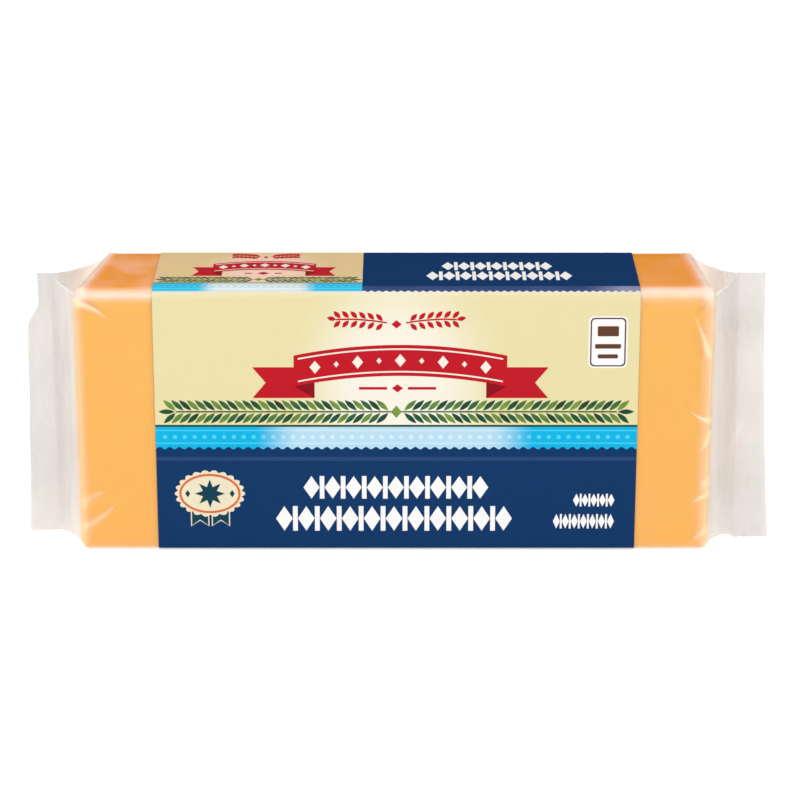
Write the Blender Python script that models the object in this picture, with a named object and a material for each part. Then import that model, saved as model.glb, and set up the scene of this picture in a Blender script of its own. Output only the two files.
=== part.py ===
"""A bar of orange cheddar sealed in clear film, with a printed band round its middle.

It stands on its long narrow side. X runs along the bar, Y from front to back and Z up, in
metres. The origin is under the middle of the bar, on the surface that the band rests on.
The film fits the bar closely, so the bar's solid goes out to it. At each end the film leaves
the bar, closes to a flat seal and is tucked in at the top and bottom.
"""

import math

import bmesh
import bpy
from mathutils import Matrix

MM = 0.001

# The bar
BAR_LENGTH = 132.0 * MM
BAR_DEPTH = 28.0 * MM
BAR_HEIGHT = 58.0 * MM
FRONT_TOP_RADIUS = 2.4 * MM
LONG_EDGE_RADIUS = 1.4 * MM
END_EDGE_RADIUS = 1.0 * MM
LEFT_END_SKEW = 4.8 * MM
RIGHT_END_SKEW = 2.6 * MM

# The printed band, which lies in a shallow recess of the bar's solid
BAND_LEFT = -50.2 * MM
BAND_RIGHT = 50.9 * MM
BAND_THICKNESS = 0.4 * MM
BAND_PROUD = 0.06 * MM
BAR_FOOT = BAND_PROUD
BAR_TOP = BAR_FOOT + BAR_HEIGHT
CREAM_FIELD_FOOT = 27.9 * MM
NAVY_FIELD_TOP = 22.9 * MM
TOP_PANEL_SPLIT = -7.0 * MM

# Between pieces that touch
FIT_GAP = 0.3 * MM

# The film at the ends
FILM_INSET = 0.7 * MM
TENT_LENGTH = 6.8 * MM
SEAL_THICKNESS = 0.9 * MM
SEAL_FOOT = 0.45 * MM
SEAL_DROP = 0.45 * MM
TENT_SAG = 0.9 * MM
TUCK_SHARE = 0.8
RIPPLE_HEIGHT = 0.35 * MM
RIPPLE_PITCH = 17.0 * MM

LEFT, RIGHT = -1, 1
SEAL_REACH = {LEFT: 77.8 * MM, RIGHT: 78.3 * MM}
SEAL_NOTCH = {LEFT: 2.4 * MM, RIGHT: 0.0}
SEAL_FLARE = {LEFT: 0.7 * MM, RIGHT: 1.7 * MM}
SEAL_BEND = {LEFT: 4.2 * MM, RIGHT: 7.6 * MM}
END_SKEW = {LEFT: LEFT_END_SKEW, RIGHT: RIGHT_END_SKEW}
NOTCH_LOW, NOTCH_HIGH = 45.5 * MM, 51.0 * MM

# How finely each film end is cut before it is shaped
TENT_STEPS = 9
SEAL_STEPS = 6
HEIGHT_STEPS = 26
DEPTH_STEPS = (-0.8, -0.5, -0.2, 0.0, 0.2, 0.5, 0.8)


def clear_scene():
    for old in list(bpy.data.objects):
        bpy.data.objects.remove(old, do_unlink=True)


def material(name, colour, roughness, alpha=1.0):
    """A Principled material with a linear base colour."""
    made = bpy.data.materials.new(name)
    made.use_nodes = True
    made.diffuse_color = (*colour, alpha)
    shader = made.node_tree.nodes["Principled BSDF"]
    shader.inputs["Base Color"].default_value = (*colour, 1.0)
    shader.inputs["Roughness"].default_value = roughness
    shader.inputs["Metallic"].default_value = 0.0
    shader.inputs["Alpha"].default_value = alpha
    return made


def add_object(name, bm, materials, sharp_deg=35.0):
    """Turns a finished bmesh into an object of the scene, shaded smooth but for its sharp edges."""
    bmesh.ops.recalc_face_normals(bm, faces=bm.faces)
    mesh = bpy.data.meshes.new(name)
    bm.to_mesh(mesh)
    bm.free()
    mesh.shade_smooth()
    mesh.set_sharp_from_angle(angle=math.radians(sharp_deg))
    for each in materials:
        mesh.materials.append(each)
    made = bpy.data.objects.new(name, mesh)
    bpy.context.scene.collection.objects.link(made)
    return made


def smooth_step(value, low, high):
    t = min(max((value - low) / (high - low), 0.0), 1.0)
    return t * t * (3.0 - 2.0 * t)


def mix(first, second, share):
    return first + (second - first) * share


def round_corners(bm, corners, radius, segments):
    bmesh.ops.bevel(
        bm,
        geom=corners,
        offset=radius,
        offset_type="OFFSET",
        segments=segments,
        profile=0.5,
        affect="VERTICES",
        material=-1,
    )


def bar_section(x, inset=0.0, segments=5):
    """A bmesh with one face: the bar's section at x, drawn in by inset, with its corners rounded."""
    bm = bmesh.new()
    bmesh.ops.create_grid(bm, x_segments=1, y_segments=1, size=0.5)
    upright = Matrix.Rotation(math.radians(90.0), 4, "Y")
    bmesh.ops.transform(bm, matrix=upright, verts=bm.verts)
    size = (1.0, BAR_DEPTH - 2.0 * inset, BAR_HEIGHT - 2.0 * inset)
    bmesh.ops.scale(bm, vec=size, verts=bm.verts)
    bmesh.ops.translate(bm, vec=(x, 0.0, (BAR_FOOT + BAR_TOP) / 2.0), verts=bm.verts)
    front_top = [corner for corner in bm.verts if corner.co.y < 0.0 and corner.co.z > BAR_HEIGHT / 2.0]
    others = [corner for corner in bm.verts if corner not in front_top]
    round_corners(bm, others, LONG_EDGE_RADIUS - inset, segments)
    round_corners(bm, front_top, FRONT_TOP_RADIUS - inset, segments)
    return bm


def extrude_along_x(bm, length):
    """Extrudes every face by length along X, and returns the vertices at the far end."""
    made = bmesh.ops.extrude_face_region(bm, geom=bm.faces[:])["geom"]
    far = [item for item in made if isinstance(item, bmesh.types.BMVert)]
    bmesh.ops.translate(bm, vec=(length, 0.0, 0.0), verts=far)
    return far


def sleeve(left, right, outer_inset, inner_inset):
    """A bmesh of a closed tube round the bar, between two insets from the bar's faces."""
    bm = bar_section(left, outer_inset)
    wall = inner_inset - outer_inset
    bmesh.ops.inset_region(
        bm, faces=bm.faces[:], thickness=wall, use_boundary=True, use_even_offset=True
    )
    middle = max(bm.faces, key=lambda face: face.calc_area())
    bmesh.ops.delete(bm, geom=[middle], context="FACES_ONLY")
    extrude_along_x(bm, right - left)
    return bm


def end_plane(side, y):
    """How far from the middle the bar's end lies at depth y: it leans inwards towards the back."""
    return BAR_LENGTH / 2.0 - END_SKEW[side] * (y / BAR_DEPTH + 0.5)


def make_bar(cheese):
    """The block of cheese out to its close film, with the recess that the printed band lies in."""
    bm = bar_section(LEFT * BAR_LENGTH / 2.0)
    extrude_along_x(bm, BAR_LENGTH)
    for vertex in bm.verts:
        side = RIGHT if vertex.co.x > 0.0 else LEFT
        vertex.co.x = side * end_plane(side, vertex.co.y)
    ends = [face for face in bm.faces if abs(face.normal.x) > 0.7]
    bmesh.ops.bevel(
        bm,
        geom=list({edge for face in ends for edge in face.edges}),
        offset=END_EDGE_RADIUS,
        offset_type="OFFSET",
        segments=3,
        profile=0.5,
        affect="EDGES",
        material=-1,
    )
    bar = add_object("cheese_block", bm, [cheese])

    recess = BAND_THICKNESS + FIT_GAP - BAND_PROUD
    cutter_bm = sleeve(BAND_LEFT - FIT_GAP, BAND_RIGHT + FIT_GAP, -2.0 * MM, recess)
    cutter = add_object("band_recess_cutter", cutter_bm, [])
    cutter.hide_render = True
    cutter.display_type = "WIRE"
    cut = bar.modifiers.new("band_recess", "BOOLEAN")
    cut.operation = "DIFFERENCE"
    cut.solver = "EXACT"
    cut.object = cutter
    return bar


def make_band(cream, blue, navy):
    """The printed band as a thin sleeve: cream above, a strip of blue, and navy below and on top."""
    bm = sleeve(BAND_LEFT, BAND_RIGHT, -BAND_PROUD, BAND_THICKNESS - BAND_PROUD)
    cuts = (
        ((0.0, 0.0, CREAM_FIELD_FOOT), (0.0, 0.0, 1.0)),
        ((0.0, 0.0, NAVY_FIELD_TOP), (0.0, 0.0, 1.0)),
        ((TOP_PANEL_SPLIT, 0.0, 0.0), (1.0, 0.0, 0.0)),
    )
    for point, normal in cuts:
        everything = bm.verts[:] + bm.edges[:] + bm.faces[:]
        bmesh.ops.bisect_plane(bm, geom=everything, plane_co=point, plane_no=normal, dist=1e-7)
    top_edge = BAR_TOP - FRONT_TOP_RADIUS / 2.0
    for face in bm.faces:
        middle = face.calc_center_median()
        if middle.z > top_edge:
            face.material_index = 0 if middle.x < TOP_PANEL_SPLIT else 2
        elif middle.z > CREAM_FIELD_FOOT:
            face.material_index = 0
        elif middle.z > NAVY_FIELD_TOP:
            face.material_index = 1
        else:
            face.material_index = 2
    return add_object("printed_band", bm, [cream, blue, navy])


def sliced_box(along, across, up):
    """A bmesh of the box with corners (0, -1, 0) and (1, 1, 1), cut at the inner values given for X, Y and Z."""
    bm = bmesh.new()
    bmesh.ops.create_cube(bm, size=1.0)
    bmesh.ops.translate(bm, vec=(0.5, 0.0, 0.5), verts=bm.verts)
    bmesh.ops.scale(bm, vec=(1.0, 2.0, 1.0), verts=bm.verts)
    for axis, cuts in enumerate((along, across, up)):
        for cut in cuts:
            point, normal = [0.0, 0.0, 0.0], [0.0, 0.0, 0.0]
            point[axis], normal[axis] = cut, 1.0
            everything = bm.verts[:] + bm.edges[:] + bm.faces[:]
            bmesh.ops.bisect_plane(bm, geom=everything, plane_co=point, plane_no=normal, dist=1e-7)
    return bm


def lowness(z):
    """1 at the bar's foot, 0 at its top."""
    return min(max((BAR_TOP - z) / BAR_HEIGHT, 0.0), 1.0)


def seal_edge(side, z):
    """How far from the middle the seal's cut edge lies at height z."""
    notch = SEAL_NOTCH[side] * smooth_step(z, NOTCH_LOW, NOTCH_HIGH)
    return SEAL_REACH[side] - notch + SEAL_FLARE[side] * lowness(z) ** 2.0


def seal_bend(side, z):
    """How far the seal stands to the front of the middle plane at height z: most at its foot."""
    return -SEAL_BEND[side] * lowness(z) ** 1.7


def seal_ripple(side, x, z):
    """The seal's slow waves."""
    wave = math.sin(2.0 * math.pi * (z + 0.35 * x) / RIPPLE_PITCH + 0.9 * side)
    return RIPPLE_HEIGHT * wave


def tuck_depth(half_width):
    """How deep the film is folded in at the top where the end has this half width.

    Half of the bar's depth of film runs from each ridge down to the fold between them. The
    fold closes up again where the two sides meet in the seal.
    """
    full = BAR_DEPTH / 2.0
    free = math.sqrt(max(full**2 - (half_width + FILM_INSET) ** 2, 0.0))
    closing = smooth_step(half_width, SEAL_THICKNESS, 3.0 * SEAL_THICKNESS)
    return TUCK_SHARE * free * closing


def film_end_point(side, along, across, up):
    """Where a point of the sliced box goes on the film end at one side of the bar."""
    tent = min(along * 2.0, 1.0)
    beyond = max(along * 2.0 - 1.0, 0.0)
    widest = BAR_DEPTH / 2.0 - FILM_INSET
    half_width = mix(widest, SEAL_THICKNESS / 2.0, 1.0 - (1.0 - tent) ** 1.15)

    sag = TENT_SAG * math.sin(math.pi * tent)
    foot = mix(BAR_FOOT + FILM_INSET, SEAL_FOOT, tent) + sag
    head = mix(BAR_TOP - FILM_INSET, BAR_TOP - SEAL_DROP, tent) - sag
    z = mix(foot, head, up)
    fold = tuck_depth(half_width) * (1.0 - abs(across))
    if up == 1.0:
        z -= fold
    elif up == 0.0:
        z += fold

    start = end_plane(side, across * widest) + FIT_GAP
    root = BAR_LENGTH / 2.0 + TENT_LENGTH
    distance = mix(mix(start, root, tent), seal_edge(side, z), beyond)
    y = across * half_width + tent**1.5 * (seal_bend(side, z) + seal_ripple(side, distance, z))
    return side * distance, y, z


def make_film_end(name, side, film):
    """The film beyond one end of the bar: two panels that close to an upright flat seal."""
    tent_cuts = [0.5 * step / TENT_STEPS for step in range(1, TENT_STEPS + 1)]
    seal_cuts = [0.5 + 0.5 * step / SEAL_STEPS for step in range(1, SEAL_STEPS)]
    up_cuts = [step / HEIGHT_STEPS for step in range(1, HEIGHT_STEPS)]
    bm = sliced_box(tent_cuts + seal_cuts, DEPTH_STEPS, up_cuts)
    for vertex in bm.verts:
        along, across, up = vertex.co
        vertex.co = film_end_point(side, along, across, round(up, 6))
    return add_object(name, bm, [film])


def main():
    clear_scene()
    cheese = material("cheese_in_film", (0.97, 0.50, 0.13), 0.3)
    film = material("milky_film", (0.80, 0.76, 0.74), 0.25)
    cream = material("print_cream", (0.86, 0.77, 0.44), 0.3)
    blue = material("print_blue", (0.02, 0.50, 0.86), 0.3)
    navy = material("print_navy", (0.01, 0.046, 0.15), 0.3)
    make_bar(cheese)
    make_band(cream, blue, navy)
    make_film_end("film_end_left", LEFT, film)
    make_film_end("film_end_right", RIGHT, film)


main()
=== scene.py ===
"""The looks of a bar of orange cheddar sealed in milky film, with a printed band round its middle.

X runs along the bar, Y from front to back and Z up, in metres. The cheese and the film are
shaped round the frame. The print is drawn flat and in millimetres, with X along the bar and S
as the way round it: up the front from its foot, back over the top, down the back and forward
under the bar. Each drawing is then wrapped round the bar as a thin closed layer.
"""

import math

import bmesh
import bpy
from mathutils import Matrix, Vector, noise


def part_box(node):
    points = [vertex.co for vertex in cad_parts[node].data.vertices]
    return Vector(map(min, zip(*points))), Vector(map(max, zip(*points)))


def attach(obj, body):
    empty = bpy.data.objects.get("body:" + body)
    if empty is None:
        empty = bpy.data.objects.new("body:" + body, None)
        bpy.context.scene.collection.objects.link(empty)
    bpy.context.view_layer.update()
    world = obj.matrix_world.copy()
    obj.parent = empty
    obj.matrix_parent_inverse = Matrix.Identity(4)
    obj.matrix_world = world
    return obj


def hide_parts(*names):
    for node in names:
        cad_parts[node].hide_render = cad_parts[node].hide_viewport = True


bl_info = {
    "name": "Cheddar Bar in Film",
    "version": (1, 0, 0),
    "blender": (4, 5, 0),
    "location": "View3D > Sidebar > Cheddar",
    "description": "Dresses a cheddar bar's frame with cheese, milky film and a printed band",
    "category": "Add Mesh",
}

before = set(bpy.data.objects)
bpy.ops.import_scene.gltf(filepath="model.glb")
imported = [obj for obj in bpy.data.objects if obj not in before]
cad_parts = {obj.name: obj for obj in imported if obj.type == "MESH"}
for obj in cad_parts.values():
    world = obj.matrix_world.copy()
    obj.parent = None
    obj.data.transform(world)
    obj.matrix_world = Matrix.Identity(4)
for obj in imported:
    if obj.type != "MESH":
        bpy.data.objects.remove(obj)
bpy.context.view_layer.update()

MM = 0.001
BODY = "root"
LEFT, RIGHT = -1, 1

# The bar and its band, as the frame has them
BAR_LOW, BAR_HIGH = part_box("cheese_block")
BAND_LOW, BAND_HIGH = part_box("printed_band")
HALF_LENGTH = BAR_HIGH.x
BAR_DEPTH = BAR_HIGH.y - BAR_LOW.y
HALF_DEPTH = BAR_DEPTH / 2.0
BAR_FOOT, BAR_TOP = BAR_LOW.z, BAR_HIGH.z
BAR_HEIGHT = BAR_TOP - BAR_FOOT
BAND_LEFT, BAND_RIGHT = BAND_LOW.x, BAND_HIGH.x
LONG_EDGE_RADIUS = 1.4 * MM
FRONT_TOP_RADIUS = 2.4 * MM
END_EDGE_RADIUS = 0.7 * MM
CHEESE_EDGE_RADIUS = 1.3 * MM
CHEESE_STEP = 3.0 * MM
END_SKEW = {LEFT: 4.8 * MM, RIGHT: 2.6 * MM}

# The film's ends, with the forms of the frame's film ends
TENT_LENGTH = 6.8 * MM
SEAL_FOOT = 0.45 * MM
SEAL_DROP = 0.45 * MM
TENT_SAG = 0.9 * MM
RIPPLE_HEIGHT = 0.35 * MM
RIPPLE_PITCH = 17.0 * MM
SEAL_REACH = {LEFT: 77.8 * MM, RIGHT: 78.3 * MM}
SEAL_NOTCH = {LEFT: 2.4 * MM, RIGHT: 0.0}
SEAL_FLARE = {LEFT: 0.7 * MM, RIGHT: 1.7 * MM}
SEAL_BEND = {LEFT: 4.2 * MM, RIGHT: 7.6 * MM}
NOTCH_LOW, NOTCH_HIGH = 45.5 * MM, 51.0 * MM

# How far each skin lies from the bar's nominal faces
FILM_LIFT = -0.02 * MM
FILM_UNDER_BAND = -0.2 * MM
CHEESE_LIFT = -0.22 * MM
CHEESE_END_LIFT = -0.2 * MM
BAND_SKIN = -0.03 * MM
BAND_THICKNESS = 0.07 * MM
LAYER_STEP = 0.012 * MM
INK_THICKNESS = 0.02 * MM

# The way round the bar: where each face of it begins
S_FRONT = 0.0
S_TOP = BAR_HEIGHT
S_BACK = S_TOP + BAR_DEPTH
S_UNDER = S_BACK + BAR_HEIGHT
S_ROUND = S_UNDER + BAR_DEPTH
CORNER_RADII = {
    S_FRONT: LONG_EDGE_RADIUS,
    S_TOP: FRONT_TOP_RADIUS,
    S_BACK: LONG_EDGE_RADIUS,
    S_UNDER: LONG_EDGE_RADIUS,
    S_ROUND: LONG_EDGE_RADIUS,
}
BAR_CORNERS = (
    Vector((-HALF_DEPTH, BAR_FOOT)),
    Vector((-HALF_DEPTH, BAR_TOP)),
    Vector((HALF_DEPTH, BAR_TOP)),
    Vector((HALF_DEPTH, BAR_FOOT)),
)


def clamp(value, low=0.0, high=1.0):
    return min(max(value, low), high)


def mix(first, second, share):
    return first + (second - first) * share


def smooth_step(value, low, high):
    t = clamp((value - low) / (high - low))
    return t * t * (3.0 - 2.0 * t)


def bell(distance, width):
    return math.exp(-((distance / width) ** 2))


def end_plane(side, y):
    """How far from the middle the bar's end lies at depth y."""
    return HALF_LENGTH - END_SKEW[side] * (y / BAR_DEPTH + 0.5)


# Settings that a user would change


def number(name, description, default, **details):
    return bpy.props.FloatProperty(name=name, description=description, default=default, **details)


def length(name, description, default):
    return number(name, description, default, unit="LENGTH", min=0.0, precision=5)


def share(name, description, default):
    return number(name, description, default, subtype="FACTOR", min=0.0, max=1.0)


def colour(name, description, default):
    return bpy.props.FloatVectorProperty(
        name=name, description=description, default=default, subtype="COLOR", min=0.0, max=1.0
    )


class CheeseSettings(bpy.types.PropertyGroup):
    edge_radius: length("Edge radius", "How round the front's upper edge is", 2.2 * MM)
    unevenness: length("Unevenness", "How far the cut faces wander", 0.05 * MM)
    flesh: colour("Cheese", "Colour of the cheese", (0.74, 0.352, 0.012))
    # The cheese's upper side takes this deep colour as painted shade; its darker patches are its
    # own colour
    deep: colour("Deep cheese", "Colour of its upper side and darker patches", (0.84, 0.285, 0.012))
    gloss: share("Film gloss", "Gloss of the film that clings to the cheese", 0.3)


class FilmSettings(bpy.types.PropertyGroup):
    fin_half: length("Half thickness", "Half the thickness of the closed seals", 0.2 * MM)
    wrinkle: length("Wrinkles", "Height of the small wrinkles in the seals", 0.3 * MM)
    milk: share("Seal milkiness", "How much each layer hides in the seals", 0.6)
    haze: share("Window haze", "How much the film hides over the cheese", 0.08)
    grey: colour("Seal colour", "Colour of the milky seals", (0.525, 0.509, 0.493))
    # Painted glow: the warm colour the cheese casts into the right seal's inner part
    warm: colour("Warm seal colour", "Colour of the right seal's inner part", (0.545, 0.475, 0.43))
    # The painted highlights along the bar's edges and ridges are drawn in this film colour too
    pale: colour("Stretched film", "Colour of the film stretched over edges", (0.86, 0.81, 0.76))
    # Painted glow: the cheese's colour that the film takes where it leaves the bar
    tinted: colour("Tinted film", "Colour of the film where it leaves the bar", (0.95, 0.54, 0.20))
    # The creases over the cheese are drawn in this colour, partly as painted glints
    crease: colour("Crease colour", "Colour of the creases over the cheese", (0.95, 0.74, 0.45))


class PrintSettings(bpy.types.PropertyGroup):
    navy: colour("Navy", "Colour of the lower field", (0.0078, 0.0355, 0.115))
    # Painted highlight: the navy's colour where the film's edge catches the light
    purple: colour("Edge purple", "Colour of the navy on the bar's edge", (0.042, 0.072, 0.195))
    cream: colour("Cream", "Colour of the upper field", (0.664, 0.602, 0.338))
    glow: colour("Glow", "Colour at the middle of the upper field", (0.76, 0.72, 0.63))
    # Painted shade: the cream field's part on the top is a darker copy of the cream
    tan: colour("Tan", "Colour of the cream field's part on the top", (0.668, 0.498, 0.266))
    blue: colour("Blue", "Colour of the blue strip at its ends", (0.004, 0.378, 0.65))
    sky: colour("Pale blue", "Colour of the blue strip at its middle", (0.396, 0.602, 0.735))
    bead: colour("Bead blue", "Colour of the beads at the strips' ends", (0.07, 0.53, 0.74))
    foam: colour("Palest blue", "Colour of the beads at the strip's middle", (0.56, 0.70, 0.77))
    lime: colour("Light green", "Colour of the lightest leaves", (0.165, 0.27, 0.045))
    leaf: colour("Leaf green", "Colour of most of the leaves", (0.055, 0.155, 0.042))
    deep: colour("Deep green", "Colour of the darker leaves", (0.0105, 0.082, 0.038))
    shade: colour("Dark green", "Colour of the line under the garlands", (0.015, 0.040, 0.0245))
    red: colour("Red", "Colour of the ribbons and sprigs", (0.45, 0.008, 0.018))
    wine: colour("Dark red", "Colour of the ribbons' folds", (0.22, 0.004, 0.010))
    white: colour("White", "Colour of the white rows", (0.80, 0.80, 0.80))
    brown: colour("Brown", "Colour of the tag's outline and bars", (0.11, 0.045, 0.025))
    orange: colour("Orange", "Colour of the rosette's ring", (0.62, 0.13, 0.045))
    teal: colour("Teal", "Colour of the rosette's star and tails", (0.004, 0.045, 0.075))
    # Strength of the highlight painted on the print along the front's upper edge
    haze: share("Edge haze", "How pale the film's edge makes the print", 0.42)


class StageSettings(bpy.types.PropertyGroup):
    lens: number("Lens", "Focal length in millimetres", 136.7, unit="CAMERA")
    distance: length("Distance", "How far the camera stands off", 0.65)
    elevation: number("Elevation", "How far it looks down", math.radians(19.41), subtype="ANGLE")
    azimuth: number("Azimuth", "How far it stands to the side", 0.0, subtype="ANGLE")
    side_power: number("Side power", "Power of each softbox at the sides", 1.2, unit="POWER")
    key_power: number("Key power", "Power of the softbox in front", 10.3, unit="POWER")
    top_power: number("Top power", "Power of the softbox overhead", 4.8, unit="POWER")
    sky: share("Sky", "Brightness of the surroundings overhead", 0.75)
    floor_glow: share("Floor glow", "Light added to the floor", 0.4)


# Nodes


class Signal:
    """What a node puts out. Arithmetic with it adds Math nodes after that node."""

    def __init__(self, socket):
        self.socket, self.tree = socket, socket.id_data

    def into(self, socket):
        self.tree.links.new(self.socket, socket)

    def math(self, operation, *others, **settings):
        return math_node(self.tree, operation, self, *others, **settings)

    def vector(self, operation, other=(0.0, 0.0, 0.0), output="Vector"):
        inputs = {0: self, 1: other}
        return node_output(self.tree, "ShaderNodeVectorMath", inputs, output, operation=operation)

    def ramp(self, low, high, to_low=0.0, to_high=1.0, kind="SMOOTHSTEP"):
        """Moves the value from the range low to high to the range to_low to to_high."""
        inputs = {"Value": self, 1: low, 2: high, 3: to_low, 4: to_high}
        return node_output(self.tree, "ShaderNodeMapRange", inputs, interpolation_type=kind)

    def __add__(self, other):
        return self.math("ADD", other)

    def __sub__(self, other):
        return self.math("SUBTRACT", other)

    def __rsub__(self, other):
        return math_node(self.tree, "SUBTRACT", other, self)

    def __mul__(self, other):
        return self.math("MULTIPLY", other)

    def __truediv__(self, other):
        return self.math("DIVIDE", other)

    def __rtruediv__(self, other):
        return math_node(self.tree, "DIVIDE", other, self)


def add_node(tree, kind, inputs=None, **settings):
    """Adds a node. An input's value is a number, a vector or colour, or a Signal to link from."""
    made = tree.nodes.new(kind)
    for name, value in settings.items():
        setattr(made, name, value)
    for name, value in (inputs or {}).items():
        if isinstance(value, Signal):
            value.into(made.inputs[name])
        else:
            made.inputs[name].default_value = value
    return made


def node_output(tree, kind, inputs=None, output=0, **settings):
    return Signal(add_node(tree, kind, inputs, **settings).outputs[output])


def math_node(tree, operation, *values, **settings):
    inputs = dict(enumerate(values))
    return node_output(tree, "ShaderNodeMath", inputs, operation=operation, **settings)


def mix_colours(share_of_second, first, second):
    """The colour between two, by a share that is a Signal."""
    inputs = {0: share_of_second}
    for index, value in ((6, first), (7, second)):
        inputs[index] = value if isinstance(value, Signal) else (*value, 1.0)
    return node_output(share_of_second.tree, "ShaderNodeMix", inputs, 2, data_type="RGBA")


def object_place(tree):
    return node_output(tree, "ShaderNodeTexCoord", output="Object")


def place(tree):
    """The point's x, y and z on the piece."""
    split = add_node(tree, "ShaderNodeSeparateXYZ", {0: object_place(tree)})
    return [Signal(socket) for socket in split.outputs]


def stretched_noise(tree, scale, stretch, detail):
    """Noise on the piece's own coordinates, drawn out along Z by stretch."""
    scales = node_output(tree, "ShaderNodeCombineXYZ", {0: 1.0, 1: 1.0, 2: 1.0 / stretch})
    drawn = object_place(tree).vector("MULTIPLY", scales)
    inputs = {"Vector": drawn, "Scale": scale, "Detail": detail, "Roughness": 0.55}
    return node_output(tree, "ShaderNodeTexNoise", inputs)


# Node groups, which more than one finish uses


def new_group(name, inputs, output):
    """A shader node group's tree, what is given to it by name, and the socket of its result."""
    tree = bpy.data.node_groups.new(name, "ShaderNodeTree")
    for label, default in inputs.items():
        kind = "NodeSocketVector" if isinstance(default, tuple) else "NodeSocketFloat"
        socket = tree.interface.new_socket(name=label, in_out="INPUT", socket_type=kind)
        socket.default_value = default
    tree.interface.new_socket(name=output, in_out="OUTPUT", socket_type="NodeSocketFloat")
    begin, end = tree.nodes.new("NodeGroupInput"), tree.nodes.new("NodeGroupOutput")
    return tree, {label: Signal(begin.outputs[label]) for label in inputs}, end.inputs[0]


def grouped(tree, build, **values):
    """Places a node group, which is built once, with its own values."""
    group = bpy.data.node_groups.get(build.__name__) or build()
    made = add_node(tree, "ShaderNodeGroup", node_tree=group)
    for label, value in values.items():
        made.inputs[label.replace("_", " ")].default_value = value
    return Signal(made.outputs[0])


def soft_patches():
    """The group for a mask of soft patches, drawn out along Z by its stretch."""
    defaults = {"Scale": 60.0, "Stretch": 1.0, "Spread": 0.2}
    tree, given, mask = new_group("soft_patches", defaults, "Mask")
    spots = stretched_noise(tree, given["Scale"], given["Stretch"], 2.0)
    spots.ramp(0.5 - given["Spread"], given["Spread"] + 0.5).into(mask)
    return tree


def slack_film():
    """The group for the height of a clinging film's slow waves and fine creases."""
    defaults = {"Wave Scale": 45.0, "Crease Scale": 300.0, "Creases": 0.0}
    tree, given, height = new_group("slack_film", defaults, "Height")
    waves = stretched_noise(tree, given["Wave Scale"], 1.4, 1.0)
    fine = stretched_noise(tree, given["Crease Scale"], 2.5, 3.0)
    (waves + fine * given["Creases"]).into(height)
    return tree


def film_crease():
    """The group for a mask of one crease: it leaves the bar's end and tapers away in a bow."""
    defaults = {"Start": (0.0, 0.0, 0.0), "Along": (1.0, 0.0, 0.0), "Length": 0.005}
    defaults.update({"Bow": 0.0, "Width": 0.0005, "Strength": 0.5})
    tree, given, mask = new_group("film_crease", defaults, "Mask")
    upright = object_place(tree).vector("MULTIPLY", (1.0, 0.0, 1.0))
    offset = upright.vector("SUBTRACT", given["Start"])
    sideways = given["Along"].vector("CROSS_PRODUCT", (0.0, 1.0, 0.0))
    run = offset.vector("DOT_PRODUCT", given["Along"], "Value") / given["Length"]
    bow = (run * math.pi).math("SINE") * given["Bow"]
    bowed = offset.vector("DOT_PRODUCT", sideways, "Value") - bow
    ratio = bowed / (run.ramp(0.0, 1.0, 1.0, 0.3) * given["Width"])
    ridge = (ratio * ratio * -1.0).math("EXPONENT")
    fading = run.ramp(-0.12, 0.02) * run.ramp(0.45, 1.1, 1.0, 0.0)
    (ridge * given["Strength"] * fading).into(mask)
    return tree


# Finishes


def new_finish(name, **values):
    """A Principled material, its tree and its shader's inputs, set to these values."""
    made = bpy.data.materials.new(name)
    made.use_nodes = True
    shader = made.node_tree.nodes["Principled BSDF"].inputs
    for label, value in values.items():
        shader[label.replace("_", " ")].default_value = value
    return made, made.node_tree, shader


def add_bump(shader, height, distance):
    inputs = {"Strength": 1.0, "Distance": distance, "Height": height}
    node_output(height.tree, "ShaderNodeBump", inputs).into(shader["Normal"])


# Creases in the film: where each starts and ends (x and z), its bow and width, in mm, and strength.
# The film is drawn paler along them, partly the haze of film standing off and partly painted glints
FRONT_CREASES = (
    ((-66.2, 55.1), (-59.4, 51.5), 0.6, 0.75, 0.6),
    ((-66.4, 10.4), (-59.6, 13.9), 0.4, 1.2, 0.2),
    ((-66.4, 5.0), (-58.2, 11.6), -0.7, 0.8, 0.32),
    ((65.4, 43.6), (61.9, 52.8), -0.3, 0.6, 0.5),
    ((66.2, 29.0), (61.6, 31.4), 0.2, 0.55, 0.6),
    ((66.4, 26.4), (64.0, 22.0), 0.2, 0.7, 0.45),
    ((66.6, 15.2), (64.0, 15.6), 0.2, 1.2, 0.35),
    ((66.6, 12.9), (62.0, 10.1), -0.2, 0.6, 0.45),
    ((66.6, 4.8), (62.3, 1.4), -0.2, 0.8, 0.3),
)
FIN_CREASES = (
    ((69.4, 13.0), (77.0, 29.0), 0.9, 1.5, 0.3),
    ((71.6, 8.0), (73.0, 24.0), 0.3, 0.8, 0.2),
    ((74.2, 9.0), (75.6, 22.0), -0.3, 0.6, 0.22),
    ((68.4, 46.0), (70.4, 30.0), 0.5, 0.9, 0.22),
    ((72.0, 52.5), (77.4, 55.0), 0.2, 0.5, 0.3),
    ((73.6, 45.0), (77.6, 47.4), 0.2, 0.4, 0.25),
    ((-76.8, 50.0), (-71.8, 52.6), -0.4, 0.9, 0.2),
    ((-69.8, 38.0), (-70.2, 28.0), 0.2, 0.8, 0.3),
    ((-76.6, 26.0), (-71.6, 22.0), 0.4, 1.0, 0.2),
    ((-75.4, 5.5), (-67.6, 8.4), 0.5, 0.9, 0.3),
)
# Painted shadows that the film's creases cast on the cheese, in the same columns
CREASE_SHADOWS = (
    ((-66.0, 56.0), (-59.8, 52.6), 0.5, 0.8, 0.5),
    ((65.2, 54.5), (61.6, 53.2), 0.2, 0.5, 0.6),
    ((64.0, 43.4), (61.0, 51.4), -0.3, 0.5, 0.3),
)


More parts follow.
